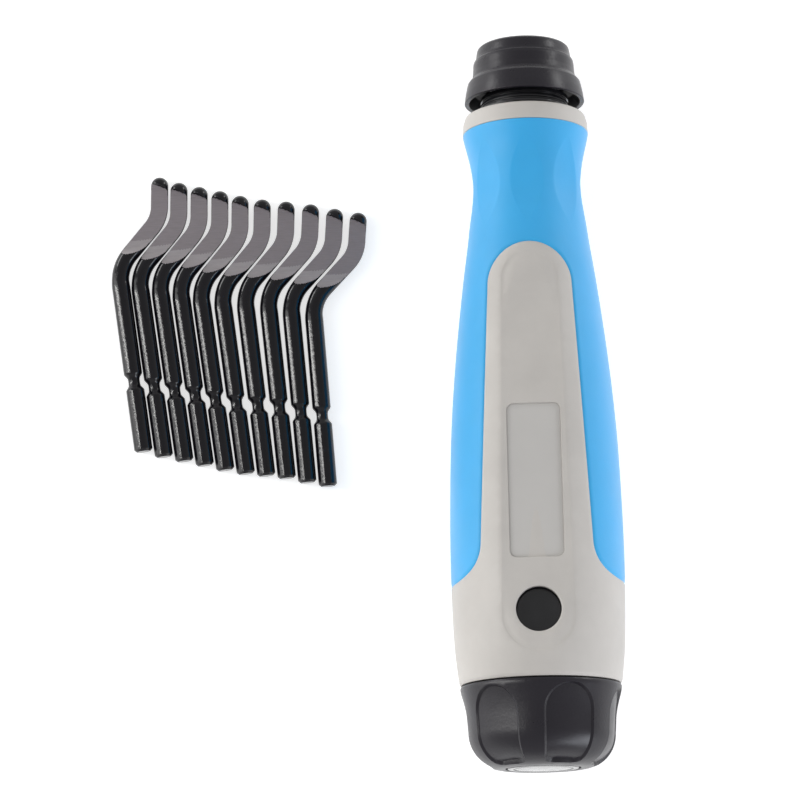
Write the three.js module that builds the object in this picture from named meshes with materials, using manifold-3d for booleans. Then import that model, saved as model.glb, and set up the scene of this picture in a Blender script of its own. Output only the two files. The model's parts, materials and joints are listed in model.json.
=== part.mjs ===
// Hand deburring tool with ten spare S-shaped blades, lying on a flat surface.
// Millimetres, +Z up. The tool's axis runs along +Y, from the end cap to the nose.
//
// The tool itself is modelled in its own upright frame: local Y is its axis, measured
// from the end cap's face, and local Z points out of the side that carries the button.
// A station is a distance along that axis, and a height is a distance from it.
import * as THREE from 'three';
import { mergeVertices } from 'three/addons/utils/BufferGeometryUtils.js';
import Module from 'manifold-3d';

const wasm = await Module();
wasm.setup();

// ---- driving dimensions -------------------------------------------------------------

const GAP = 0.3; // clearance between pieces that touch on the real tool
const ROUND = 32; // facets around the large turned pieces
const ROUND_SMALL = 16; // facets around the small turned pieces
const CLEAR = 20; // farther from the tool's axis than any of its surfaces
const EDGE = 0.2; // bevel on small moulded edges

// Placement of the tool: it rests on its belly and on its front collar.
const TOOL_DIP = THREE.MathUtils.degToRad(3.52);
const TOOL_ROLL = THREE.MathUtils.degToRad(-2.6);

// Handle. Each pair is a radius and a station on the outer surface.
const SHELL_REAR = 13.85;
const GRIP_REAR = 30.3;
const GRIP_FRONT = 108.1;
const SHELL_FRONT = 111.45;
const HANDLE_OUTLINE = [
  [13.5, 13.85], [14.22, 21], [14.53, 33], [14.38, 45], [13.9, 57], [12.9, 69],
  [11.5, 81], [10.25, 90], [9.68, 95.5], [9.58, 99.5], [9.85, 103.7], [10.78, 108.1],
  [10.62, 110.1], [10.2, 111.45],
];
const COLLAR_EDGE = 0.5;
const GRIP_THICKNESS = 1.3;
const OUTLINE_STEPS = 110; // samples along the handle's outline

// Tongue: the shell's hard panel that shows through the soft grip.
const TONGUE_TIP_RADIUS = 7.1;
const TONGUE_TIP_CENTRE = 79.7;
const TONGUE_REAR_HALF_WIDTH = 9.3;
const TONGUE_FLARE_START = 36;
const TONGUE_OUTER_HALF_WIDTH = 15.2;
const FLARE_PULL = { side: 0.4, front: 1 }; // how full the curve of the flare is

// Flat land on the tongue, with the blank label's recess.
const LAND = { rear: 17.7, front: 83, rearHalfWidth: 6.2, frontHalfWidth: 4.5, drop: 1 };
const LABEL = { rear: 33.25, front: 58.75, halfWidth: 4.35, recess: 0.6, plate: 0.3 };

// Bores inside the shell.
const NECK_BORE = { radius: 11.85, front: 30.4 };
const CHAMBER = { radius: 10, taperStart: 58, endRadius: 7.5, front: 84 };
const CORE_BORE = { radius: 5.3, rear: 87.7 };
const CORE_SEAT = { radius: 7.8, rear: 107.2 };

// Chuck core and the quick-change catch in the nose.
const CORE = { stemRadius: 5, rear: 88, bodyRadius: 7.5, bodyRear: 107.5, bodyFront: 114.7 };
const CORE_NECK = { radius: 4, front: 123.65 };
const CORE_RING_GROOVES = { stations: [112.1, 113.2], width: 0.4, depth: 0.3 };
const BLADE_BORE = { radius: 1.65, rear: 107.4 };
const BALL = { radius: 1.25, station: 119.6, height: 2.85, holeRadius: 1.45, count: 3 };
const CATCH_CONE_SLOPE = 0.25;
const CIRCLIP = { inner: 3.7, outer: 5.8, rear: 122, front: 122.6, grooveRadius: 3.5, split: 1.6 };
const SLEEVE = {
  rim: 113.85, rimBore: 9.5, bore: 7.8, wall: 118.3, neckBore: 4.2, counterbore: 6.2,
  counterboreRear: 121.8, front: 123.65,
};
// The sleeve's three tiers, from its rim to its front edge.
const SLEEVE_TIERS = [
  [10.25, SLEEVE.rim], [10.05, 115.3], [9.8, 116.5], [9.45, 117.55], [9.15, 117.85],
  [8.75, 118.5], [8.66, 119.6], [8.6, 120.9], [8.5, 121.25], [8.2, 121.5], [8.05, 122.6],
  [7.9, 123.3], [7.65, SLEEVE.front],
];
// The skirt's bore: it widens from its foot to its mouth.
const SKIRT_BORE = { foot: 117.1, mouth: 116.1, mouthRadius: 8.9 };
const SLEEVE_SPRING = { radius: 5.8, wire: 0.25, rear: 115.1, front: 117.85, turns: 3 };

// End cap with its neck, seal, inlaid disc and lock button.
const CAP = { front: 13.55, neckRadius: 11.6, neckFront: 30, bore: 10, floor: 3.2, boreChamfer: 2 };
const CAP_DOME = { centre: 6.6, radius: 5.8 };
const CAP_SIDE = [[12.5, 7.2], [12.64, 9], [12.92, 11], [13.3, 13], [13.38, CAP.front]];
const CAP_POCKET = { count: 6, first: 22, halfWidth: 4.1, rear: 1.4, front: 12.6, depth: 0.45 };
const END_DISC = { radius: 5.9, thickness: 1 };
const SEAL = { radius: 11.3, wire: 0.45, station: 16.4 };
const BUTTON = {
  station: 24.7, radius: 3.5, top: 11.1, flangeRadius: 3.85, flangeTop: 9.9, flangeBase: 8.9,
  hole: 3.75,
};
const BUTTON_POCKET = { radius: 4.1, floor: 5, lip: 10.2, lipRadius: 3.7, boss: 5, base: 4.2 };
const BUTTON_SPRING = { radius: 2.9, wire: 0.25, base: 5.45, top: 8.45, turns: 4 };

// Blades. The shank is straight, then the head bends out and back again.
const SHANK = { radius: 1.6, length: 29.3, chamfer: 0.4 };
const SHANK_GROOVE = { station: 12.2, length: 3.1, waist: 1.8, radius: 1 };
const HEAD = { radius: 1.5, bendRadius: 7, bendOut: 47, diagonal: 6, bendBack: 38.5, tip: 3.7 };
const HEAD_FLAT = { height: 0.45, start: 34.4, blackTip: 1.3 };
const HEAD_ROOT = 0.8; // how far the head's rod starts inside the shank
const BLADE_FACETS = 8;
const BLADE_PITCH = 3.5;
// Where the first blade's shank ends, seen from the cap face on the tool's axis.
const FIRST_BLADE_X = -66.4;
const BLADE_END_Y = [55.9, 54.9, 54.1, 53.3, 52.4, 51.7, 51.3, 50.8, 50, 49.3];
const BLADE_TILT = [-7.3, -7.5, -7.5, -7.4, -7.4, -7, -6.2, -5.3, -4.5, -3.8];

// ---- materials ----------------------------------------------------------------------

const material = (color, roughness, metalness = 0) =>
  new THREE.MeshStandardMaterial({ color, roughness, metalness });
const greyPlastic = material(0xc6c2bc, 0.55);
const blueGrip = material(0x4fb0ea, 0.6);
const labelGrey = material(0xc2c4c6, 0.6);
const blackPlastic = material(0x2b292e, 0.5);
const glossBlack = material(0x151417, 0.2);
const springSteel = material(0xb9bcc2, 0.3, 1);
const sealRubber = material(0x1c1b1d, 0.8);
const bladeSteel = material(0x2a2b33, 0.3, 0.8);

// ---- solids -------------------------------------------------------------------------

// A closed three.js geometry as a solid for cutting and joining.
function solid(geometry) {
  const bare = geometry.index ? geometry.toNonIndexed() : geometry.clone();
  bare.deleteAttribute('normal');
  bare.deleteAttribute('uv');
  const merged = mergeVertices(bare, 1e-4);
  const vertProperties = new Float32Array(merged.attributes.position.array);
  const triVerts = new Uint32Array(withoutSlivers(merged.index.array));
  return new wasm.Manifold(new wasm.Mesh({ numProp: 3, vertProperties, triVerts }));
}

// Triangles that collapsed when their vertices merged, as at a lathe's axis, are dropped.
function withoutSlivers(index) {
  const kept = [];
  for (let i = 0; i < index.length; i += 3) {
    const [a, b, c] = [index[i], index[i + 1], index[i + 2]];
    if (a !== b && b !== c && c !== a) kept.push(a, b, c);
  }
  return kept;
}

function named(name, shape, look) {
  const { vertProperties, triVerts } = shape.getMesh();
  const geometry = new THREE.BufferGeometry();
  geometry.setAttribute('position', new THREE.BufferAttribute(vertProperties, 3));
  geometry.setIndex(new THREE.BufferAttribute(triVerts, 1));
  geometry.computeVertexNormals();
  const mesh = new THREE.Mesh(geometry, look);
  mesh.name = name;
  return mesh;
}

// A turned solid about local Y. The outline lists radius and station pairs, anticlockwise
// with the axis on its left, and either starts and ends on the axis or closes on itself.
function turned(outline, facets = ROUND) {
  const points = outline.map(([radius, station]) => new THREE.Vector2(radius, station));
  if (outline[0][0] > 0) points.push(points[0].clone());
  return solid(new THREE.LatheGeometry(points, facets));
}

// A turned solid whose axis stands out of the tool's side, at one station.
function turnedUpright(outline, station, facets = ROUND_SMALL) {
  return turned(outline, facets).rotate([90, 0, 0]).translate([0, station, 0]);
}

const disc = (radius, from, to) => [[0, from], [radius, from], [radius, to], [0, to]];

// A prism standing along local Z over a plan outline of Vector2 points.
function prism(outline, from, to) {
  const shape = new THREE.Shape(outline);
  const geometry = new THREE.ExtrudeGeometry(shape, { depth: to - from, bevelEnabled: false });
  return solid(geometry).translate([0, 0, from]);
}

// A prism running across the tool, over an outline of station and height pairs.
function crossPrism(outline, halfWidth) {
  const shape = new THREE.Shape(outline.map(([station, height]) => new THREE.Vector2(station, height)));
  const geometry = new THREE.ExtrudeGeometry(shape, { depth: 2 * halfWidth, bevelEnabled: false });
  return solid(geometry).rotate([90, 0, 90]).translate([-halfWidth, 0, 0]);
}

function box(min, max) {
  const size = max.map((value, i) => value - min[i]);
  const middle = max.map((value, i) => (value + min[i]) / 2);
  return solid(new THREE.BoxGeometry(...size)).translate(middle);
}

// A coil about local Y with open ends, its wire's centreline running between two stations.
class Helix extends THREE.Curve {
  constructor(radius, from, to, turns) {
    super();
    Object.assign(this, { radius, from, to, turns });
  }

  getPoint(u, target = new THREE.Vector3()) {
    const angle = 2 * Math.PI * this.turns * u;
    const station = THREE.MathUtils.lerp(this.from, this.to, u);
    return target.set(this.radius * Math.sin(angle), station, this.radius * Math.cos(angle));
  }
}

function coil({ radius, wire, from, to, turns }) {
  const section = new THREE.Shape(circlePoints(wire, 5));
  const path = new Helix(radius, from, to, turns);
  return solid(new THREE.ExtrudeGeometry(section, { steps: 12 * turns, extrudePath: path }));
}

function circlePoints(radius, count, phase = 0) {
  return Array.from({ length: count }, (_, i) => {
    const angle = phase + (2 * Math.PI * i) / count;
    return new THREE.Vector2(radius * Math.cos(angle), radius * Math.sin(angle));
  });
}

// ---- handle -------------------------------------------------------------------------

const handleCurve = new THREE.SplineCurve(HANDLE_OUTLINE.map(([r, t]) => new THREE.Vector2(r, t)))
  .getPoints(OUTLINE_STEPS);

function handleRadius(station) {
  const next = Math.max(1, handleCurve.findIndex((point) => point.y >= station));
  const [a, b] = [handleCurve[next - 1], handleCurve[next]];
  return THREE.MathUtils.mapLinear(station, a.y, b.y, a.x, b.x);
}

// The outer surface between two stations, inset by a depth, as radius and station pairs.
function handleSurface(from, to, inset = 0, step = 7) {
  const count = Math.max(1, Math.round((to - from) / step));
  return Array.from({ length: count + 1 }, (_, i) => {
    const station = from + ((to - from) * i) / count;
    return [handleRadius(station) - inset, station];
  });
}

// The tongue's outline in plan. A margin makes it larger, for the opening in the grip.
function tongueOutline(margin = 0) {
  const radius = TONGUE_TIP_RADIUS + margin;
  const tip = new THREE.Path().absarc(0, TONGUE_TIP_CENTRE, radius, 0, Math.PI, false).getPoints(8);
  const rearWidth = TONGUE_REAR_HALF_WIDTH + margin;
  const flare = new THREE.QuadraticBezierCurve(
    new THREE.Vector2(rearWidth, TONGUE_FLARE_START),
    new THREE.Vector2(rearWidth + FLARE_PULL.side, GRIP_REAR + margin + FLARE_PULL.front),
    new THREE.Vector2(TONGUE_OUTER_HALF_WIDTH, GRIP_REAR + margin),
  ).getPoints(5);
  const right = flare.reverse();
  const left = flare.map((point) => new THREE.Vector2(-point.x, point.y)).reverse();
  const rear = SHELL_REAR + 2;
  return [
    new THREE.Vector2(-TONGUE_OUTER_HALF_WIDTH, rear),
    new THREE.Vector2(TONGUE_OUTER_HALF_WIDTH, rear),
    ...right, ...tip, ...left,
  ];
}

// The space above the flat land, inside the land's own outline in plan.
function landCutter() {
  const { rear, front, rearHalfWidth, frontHalfWidth, drop } = LAND;
  const rearArc = new THREE.Path()
    .absarc(0, rear + rearHalfWidth, rearHalfWidth, Math.PI, 2 * Math.PI, false).getPoints(8);
  const frontArc = new THREE.Path()
    .absarc(0, front - frontHalfWidth, frontHalfWidth, 0, Math.PI, false).getPoints(8);
  const region = prism([...rearArc, ...frontArc], 0, CLEAR);
  return region.intersect(aboveSurface(rear - 1, front + 1, drop, 10));
}

// The space over the handle's surface lowered by a depth, for cuts that follow the belly.
function aboveSurface(from, to, depth, halfWidth) {
  const surface = handleSurface(from, to, depth).map(([radius, station]) => [station, radius]);
  return crossPrism([...surface, [to, CLEAR], [from, CLEAR]], halfWidth);
}

function bodyShell() {
  const inset = GRIP_THICKNESS + GAP;
  const outer = turned([
    [0, SHELL_REAR], ...handleSurface(SHELL_REAR, GRIP_REAR - GAP),
    ...handleSurface(GRIP_REAR - GAP, GRIP_FRONT + GAP, inset),
    ...handleSurface(GRIP_FRONT + GAP, SHELL_FRONT - COLLAR_EDGE, 0, 1),
    [handleRadius(SHELL_FRONT) - COLLAR_EDGE, SHELL_FRONT], [0, SHELL_FRONT],
  ]);
  const tongue = turned([
    [0, SHELL_REAR + 1], ...handleSurface(SHELL_REAR + 1, LAND.front + 7), [0, LAND.front + 7],
  ]).intersect(prism(tongueOutline(), 0, CLEAR));
  const hollow = turned([
    [0, SHELL_REAR - 1], [NECK_BORE.radius, SHELL_REAR - 1], [NECK_BORE.radius, NECK_BORE.front],
    [CHAMBER.radius, NECK_BORE.front], [CHAMBER.radius, CHAMBER.taperStart],
    [CHAMBER.endRadius, CHAMBER.front], [0, CHAMBER.front],
  ]);
  const coreBore = turned([
    [0, CORE_BORE.rear], [CORE_BORE.radius, CORE_BORE.rear], [CORE_BORE.radius, CORE_SEAT.rear],
    [CORE_SEAT.radius, CORE_SEAT.rear], [CORE_SEAT.radius, SHELL_FRONT + 1], [0, SHELL_FRONT + 1],
  ]);
  const buttonHole = turnedUpright(disc(BUTTON.hole, 0, CLEAR), BUTTON.station, ROUND);
  const labelRecess = aboveSurface(LABEL.rear, LABEL.front, LAND.drop + LABEL.recess, LABEL.halfWidth);
  return outer.add(tongue).subtract(hollow).subtract(coreBore).subtract(landCutter())
    .subtract(buttonHole).subtract(labelRecess);
}

function softGrip() {
  const skin = turned([
    ...handleSurface(GRIP_REAR, GRIP_FRONT),
    ...handleSurface(GRIP_REAR, GRIP_FRONT, GRIP_THICKNESS).reverse(),
  ]);
  return skin.subtract(prism(tongueOutline(GAP), 0, CLEAR));
}

function labelPlate() {
  const margin = GAP / 2;
  const floor = LAND.drop + LABEL.recess - GAP / 2;
  const [from, to] = [LABEL.rear + margin, LABEL.front - margin];
  const bottom = handleSurface(from, to, floor).map(([radius, station]) => [station, radius]);
  const top = handleSurface(from, to, floor - LABEL.plate).map(([radius, station]) => [station, radius]);
  return crossPrism([...bottom, ...top.reverse()], LABEL.halfWidth - margin);
}

// ---- nose ---------------------------------------------------------------------------

function chuckCore() {
  const { stations, width, depth } = CORE_RING_GROOVES;
  const grooves = stations.flatMap((station) => [
    [CORE.bodyRadius, station - width / 2], [CORE.bodyRadius - depth, station - width / 4],
    [CORE.bodyRadius - depth, station + width / 4], [CORE.bodyRadius, station + width / 2],
  ]);
  const body = turned([
    [0, CORE.rear], [CORE.stemRadius, CORE.rear], [CORE.stemRadius, CORE.bodyRear],
    [CORE.bodyRadius, CORE.bodyRear], ...grooves, [CORE.bodyRadius, CORE.bodyFront],
    [CORE_NECK.radius, CORE.bodyFront], [CORE_NECK.radius, CIRCLIP.rear - GAP / 2],
    [CIRCLIP.grooveRadius, CIRCLIP.rear - GAP / 2], [CIRCLIP.grooveRadius, CIRCLIP.front + GAP / 2],
    [CORE_NECK.radius, CIRCLIP.front + GAP / 2], [CORE_NECK.radius, CORE_NECK.front],
    [0, CORE_NECK.front],
  ]);
  const bore = turned(disc(BLADE_BORE.radius, BLADE_BORE.rear, CORE_NECK.front + 1), ROUND_SMALL);
  const holes = ballAngles().map((angle) =>
    turnedUpright(disc(BALL.holeRadius, 0, CLEAR), BALL.station, ROUND_SMALL).rotate([0, angle, 0]));
  return holes.reduce((core, hole) => core.subtract(hole), body.subtract(bore));
}

const ballAngles = () => Array.from({ length: BALL.count }, (_, i) => (360 / BALL.count) * i);

function lockBall(angle) {
  return solid(new THREE.SphereGeometry(BALL.radius, 12, 8))
    .translate([0, BALL.station, BALL.height]).rotate([0, angle, 0]);
}

// Three bell-shaped tiers outside; a hollow skirt, a catch cone and a counterbore inside.
function releaseSleeve() {
  const coneMouth = SLEEVE.neckBore + CATCH_CONE_SLOPE * (SLEEVE.counterboreRear - BALL.station);
  return turned([
    ...SLEEVE_TIERS, [SLEEVE.counterbore, SLEEVE.front],
    [SLEEVE.counterbore, SLEEVE.counterboreRear], [coneMouth, SLEEVE.counterboreRear],
    [SLEEVE.neckBore, BALL.station], [SLEEVE.neckBore, SLEEVE.wall], [SLEEVE.bore, SLEEVE.wall],
    [SLEEVE.bore, SKIRT_BORE.foot], [SKIRT_BORE.mouthRadius, SKIRT_BORE.mouth],
    [SLEEVE.rimBore, SLEEVE.rim],
  ]);
}

function retainingRing() {
  const { inner, outer, rear, front, split } = CIRCLIP;
  const ring = turned([[outer, rear], [outer, front], [inner, front], [inner, rear]]);
  return ring.subtract(box([-split / 2, rear - 1, -CLEAR], [split / 2, front + 1, 0]));
}

function sleeveSpring() {
  const { radius, wire, rear, front, turns } = SLEEVE_SPRING;
  return coil({ radius, wire, from: rear, to: front, turns });
}

// ---- end cap ------------------------------------------------------------------------

// The end cap's outer surface from its flat face to its front edge.
function capOutline() {
  const { centre, radius } = CAP_DOME;
  const dome = new THREE.Path()
    .absarc(centre, radius, radius, -Math.PI / 2, 0, false).getPoints(5)
    .map((point) => [point.x, point.y]);
  return [...dome, ...CAP_SIDE];
}

// One finger pocket: a round-ended slot, sunk a little way into the cap's side and dome.
function capPocket(angle) {
  const { halfWidth, rear, front, depth } = CAP_POCKET;
  const frontArc = new THREE.Path()
    .absarc(0, front - halfWidth, halfWidth, 0, Math.PI, false).getPoints(6);
  const slot = prism([
    new THREE.Vector2(-halfWidth, rear), new THREE.Vector2(halfWidth, rear), ...frontArc,
  ], 0, CLEAR);
  const outline = capOutline().map(([radius, station]) => [radius - depth, station]);
  const core = turned([[0, -1], [outline[0][0], -1], ...outline, [0, CAP.front]]);
  return slot.subtract(core).rotate([0, angle, 0]);
}

function storageCap() {
  const seat = END_DISC.radius + GAP;
  const recess = END_DISC.thickness + GAP;
  const grooveRadius = SEAL.radius - SEAL.wire - GAP / 3;
  const grooveHalf = SEAL.wire + GAP / 2;
  const { neckRadius, neckFront, bore, floor, front, boreChamfer } = CAP;
  const cup = turned([
    [0, recess], [seat, recess], [seat, 0], ...capOutline(), [neckRadius, front],
    [neckRadius, SEAL.station - grooveHalf], [grooveRadius, SEAL.station - grooveHalf],
    [grooveRadius, SEAL.station + grooveHalf], [neckRadius, SEAL.station + grooveHalf],
    [neckRadius, neckFront], [bore, neckFront], [bore, floor + boreChamfer],
    [bore - boreChamfer, floor], [0, floor],
  ]);
  const { radius, floor: pocketFloor, lip, lipRadius, boss, base } = BUTTON_POCKET;
  const bossSolid = turnedUpright(disc(boss, base, CLEAR), BUTTON.station, ROUND)
    .intersect(turned(disc(neckRadius - EDGE, SEAL.station, neckFront)));
  const pocket = turnedUpright([
    [0, pocketFloor], [radius, pocketFloor], [radius, lip], [lipRadius, lip],
    [lipRadius, CLEAR], [0, CLEAR],
  ], BUTTON.station, ROUND);
  const angles = Array.from({ length: CAP_POCKET.count }, (_, i) =>
    CAP_POCKET.first + (360 / CAP_POCKET.count) * i);
  return angles.reduce((cap, angle) => cap.subtract(capPocket(angle)), cup)
    .add(bossSolid).subtract(pocket);
}

const endDisc = () => turned([
  [0, 0], [END_DISC.radius - EDGE, 0], [END_DISC.radius, EDGE],
  [END_DISC.radius, END_DISC.thickness], [0, END_DISC.thickness],
]);

function capSeal() {
  const section = circlePoints(SEAL.wire, 6).map((p) => [SEAL.radius + p.x, SEAL.station + p.y]);
  return turned(section);
}

const lockButton = () => turnedUpright([
  [0, BUTTON.flangeBase], [BUTTON.flangeRadius, BUTTON.flangeBase],
  [BUTTON.flangeRadius, BUTTON.flangeTop], [BUTTON.radius, BUTTON.flangeTop],
  [BUTTON.radius, BUTTON.top - EDGE], [BUTTON.radius - EDGE, BUTTON.top], [0, BUTTON.top],
], BUTTON.station, ROUND);

function buttonSpring() {
  const { radius, wire, base, top, turns } = BUTTON_SPRING;
  return coil({ radius, wire, from: base, to: top, turns })
    .rotate([90, 0, 0]).translate([0, BUTTON.station, 0]);
}

// ---- blades -------------------------------------------------------------------------

// The head's centreline, from inside the shank to the tip, as a chain of bends.
function headCurve() {
  const { bendRadius, bendOut, diagonal, bendBack, tip } = HEAD;
  const points = [new THREE.Vector3(0, SHANK.length - HEAD_ROOT, 0)];
  const at = new THREE.Vector3(0, SHANK.length, 0);
  let heading = 0;
  const walk = (length, turn, steps) => {
    for (let i = 0; i < steps; i += 1) {
      heading += turn / steps / 2;
      at.add(new THREE.Vector3(Math.sin(heading), Math.cos(heading), 0).multiplyScalar(length / steps));
      heading += turn / steps / 2;
      points.push(at.clone());
    }
  };
  const out = THREE.MathUtils.degToRad(bendOut);
  const back = THREE.MathUtils.degToRad(bendBack);
  walk(bendRadius * out, out, 4);
  walk(diagonal, 0, 2);
  walk((bendRadius - 1) * back, -back, 3);
  walk(tip, 0, 1);
  return new THREE.CatmullRomCurve3(points, false, 'centripetal');
}

function bladeSolid() {
  const { radius, length, chamfer } = SHANK;
  const groove = SHANK_GROOVE;
  const shank = turned([
    [0, 0], [radius - chamfer, 0], [radius, chamfer], [radius, groove.station - groove.length / 2],
    [groove.radius, groove.station - groove.waist / 2],
    [groove.radius, groove.station + groove.waist / 2],
    [radius, groove.station + groove.length / 2], [radius, length], [0, length],
  ], BLADE_FACETS);
  const curve = headCurve();
  const section = new THREE.Shape(circlePoints(HEAD.radius, BLADE_FACETS));
  const rod = solid(new THREE.ExtrudeGeometry(section, { steps: 11, extrudePath: curve }));
  const end = curve.getPoint(1);
  const heading = curve.getTangent(1);
  const tip = solid(new THREE.SphereGeometry(HEAD.radius, BLADE_FACETS, 6))
    .translate([end.x, end.y, 0]);
  const flatEnd = end.clone().addScaledVector(heading, HEAD.radius - HEAD_FLAT.blackTip);
  const ground = box([-CLEAR, HEAD_FLAT.start, HEAD_FLAT.height], [CLEAR, flatEnd.y, CLEAR]);
  return shank.add(rod).add(tip).subtract(ground);
}

function bladeMeshes() {
  const shape = bladeSolid();
  return BLADE_TILT.map((tilt, i) => {
    const blade = named(`blade_${String(i + 1).padStart(2, '0')}`, shape, bladeSteel);
    blade.rotation.z = -THREE.MathUtils.degToRad(tilt);
    blade.position.set(FIRST_BLADE_X + BLADE_PITCH * i, BLADE_END_Y[i], SHANK.radius);
    return blade;
  });
}

// ---- assembly -----------------------------------------------------------------------

const tool = new THREE.Group();
tool.add(
  named('body_shell', bodyShell(), greyPlastic),
  named('soft_grip', softGrip(), blueGrip),
  named('label_plate', labelPlate(), labelGrey),
  named('chuck_core', chuckCore(), glossBlack),
  named('retaining_ring', retainingRing(), springSteel),
  named('release_sleeve', releaseSleeve(), blackPlastic),
  named('sleeve_spring', sleeveSpring(), springSteel),
  ...ballAngles().map((angle, i) => named(`lock_ball_${i + 1}`, lockBall(angle), springSteel)),
  named('storage_cap', storageCap(), blackPlastic),
  named('cap_seal', capSeal(), sealRubber),
  named('end_disc', endDisc(), blackPlastic),
  named('lock_button', lockButton(), glossBlack),
  named('button_spring', buttonSpring(), springSteel),
);
tool.rotation.set(-TOOL_DIP, TOOL_ROLL, 0);

const layout = new THREE.Group();
layout.add(tool, ...bladeMeshes());

// The tool comes down until it touches the surface that the blades lie on, and the
// origin goes to the middle of the whole footprint.
layout.updateMatrixWorld(true);
tool.position.z = -new THREE.Box3().setFromObject(tool, true).min.z;
layout.updateMatrixWorld(true);
const footprint = new THREE.Box3().setFromObject(layout, true).getCenter(new THREE.Vector3());
layout.position.set(-footprint.x, -footprint.y, 0);

export default layout;
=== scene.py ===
# Looks of a hand deburring tool with ten spare blades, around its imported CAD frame.
#
# Shapes are made in the tool's own frame, in millimetres: local Y is the tool's axis, from
# the end cap's face to the nose, and local Z points out of the side with the button. A
# station is a distance along the axis, and a height a distance from it.
import json
import math

import bmesh
import bpy
from mathutils import Matrix, Vector
from mathutils.geometry import delaunay_2d_cdt
from mathutils.kdtree import KDTree


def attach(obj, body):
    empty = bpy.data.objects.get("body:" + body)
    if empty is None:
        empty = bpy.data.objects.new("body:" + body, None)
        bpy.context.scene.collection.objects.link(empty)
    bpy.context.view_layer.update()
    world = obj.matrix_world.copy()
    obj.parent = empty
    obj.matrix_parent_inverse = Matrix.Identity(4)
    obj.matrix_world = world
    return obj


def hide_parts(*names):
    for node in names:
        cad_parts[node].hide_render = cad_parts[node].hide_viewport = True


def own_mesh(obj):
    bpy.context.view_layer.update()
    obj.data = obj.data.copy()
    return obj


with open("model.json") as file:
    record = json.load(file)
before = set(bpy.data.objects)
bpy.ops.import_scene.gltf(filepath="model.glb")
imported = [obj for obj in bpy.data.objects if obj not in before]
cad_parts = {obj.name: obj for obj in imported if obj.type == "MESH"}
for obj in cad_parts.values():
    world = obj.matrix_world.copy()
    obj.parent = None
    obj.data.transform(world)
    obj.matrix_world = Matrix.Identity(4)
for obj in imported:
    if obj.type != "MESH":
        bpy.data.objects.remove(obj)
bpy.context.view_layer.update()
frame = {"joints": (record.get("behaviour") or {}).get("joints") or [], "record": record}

MM = 0.001
DEG = math.pi / 180

# ---- the tool's own frame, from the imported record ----

MOUNTS = {m["name"]: m for m in frame["record"]["mounts"]}
JOINTS = {j["name"]: j for j in frame["joints"]}
CAP_END = Vector(MOUNTS["end_face"]["pos_m"])
ALONG = Vector(MOUNTS["nose_face"]["axis"]).normalized()
OUTWARD = -Vector(JOINTS["button_press"]["axis"]).normalized()
SIDE = ALONG.cross(OUTWARD)


def tool_matrix():
    """From the tool's own millimetres to the row frame's metres."""
    axes = Matrix((SIDE, ALONG, OUTWARD)).transposed().to_4x4()
    return Matrix.Translation(CAP_END) @ axes @ Matrix.Scale(MM, 4)


TOOL = tool_matrix()

# ---- dimensions, as in the CAD model except where noted ----

HANDLE_OUTLINE = [
    (13.5, 13.85), (14.22, 21), (14.53, 33), (14.38, 45), (13.9, 57), (12.9, 69),
    (11.5, 81), (10.25, 90), (9.68, 95.5), (9.58, 99.5), (9.85, 103.7), (10.78, 108.1),
    (10.62, 110.1), (10.2, 111.45),
]
SHELL_REAR, GRIP_REAR, GRIP_FRONT, SHELL_FRONT = 13.85, 30.3, 108.1, 111.45
FACET_ALLOWANCE = 0.085
WRAP = 14.0  # unrolled millimetres for each radian around the tool

TONGUE_TIP_RADIUS, TONGUE_TIP_CENTRE = 7.1, 79.7
TONGUE_REAR_HALF_WIDTH, TONGUE_FLARE_START = 9.3, 35.6
FLARE_PULL, FLARE_END = (10.45, 30.5), 18.5

LAND_REAR, LAND_FRONT, LAND_REAR_HALF, LAND_FRONT_HALF = 17.7, 85.0, 6.0, 4.5
LAND_EASE, LAND_STEP = 13.0, 0.13
LABEL_REAR, LABEL_FRONT, LABEL_HALF, LABEL_CORNER = 33.25, 58.75, 4.38, 1.1
LABEL_RECESS, LABEL_PLATE_DEPTH, LABEL_PLATE = 0.7, 0.29, 0.34
BUTTON_STATION, BUTTON_HOLE = 24.7, 3.75
BUTTON_RADIUS = 3.64  # 0.14 more than in the CAD model
NECK_BORE, SHELL_WALL, GRIP_WALL = 11.85, 1.5, 1.4

FACET_CENTRE, FACET_HALF_LENGTH, FACET_HALF_ANGLE, FACET_COUNT = 98.2, 7.8, 16.5, 8

CAP_FRONT, CAP_DOME_CENTRE, CAP_DOME_RADIUS = 13.55, 6.6, 5.8
CAP_NECK, CAP_NECK_REAR, CAP_NECK_FRONT, CAP_BORE = 11.6, 13.4, 30.0, 10.0
NECK_HOLE, SEAL_GROOVE_REAR, SEAL_GROOVE_FRONT, SEAL_GROOVE_DEPTH = 3.7, 15.8, 17.0, 0.85
POCKET_COUNT, POCKET_FIRST = 6, 22.0
POCKET_HALF = 4.35  # 0.25 more than in the CAD model

BALL_RADIUS, BALL_ORBIT, BALL_STATION = 1.25, 2.85, 119.6
SPRING_WIRE = 0.25

BLADE_PITCH, FIRST_BLADE_X, SHANK_RADIUS = 3.5, -66.4, 1.6
SHANK_SKIN = SHANK_RADIUS - 0.01  # the CAD model's facets cut corners
BLADE_END_Y = [55.9, 54.9, 54.1, 53.3, 52.4, 51.7, 51.3, 50.8, 50, 49.3]
BLADE_TILT = [-7.3, -7.5, -7.5, -7.4, -7.4, -7, -6.2, -5.3, -4.5, -3.8]


# ---- small maths ----


def lerp(a, b, share):
    return a + (b - a) * share


def frange(low, high, count):
    return [lerp(low, high, i / count) for i in range(count + 1)]


def smooth(low, high, value):
    share = min(1.0, max(0.0, (value - low) / (high - low)))
    return share * share * (3 - 2 * share)


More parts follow.
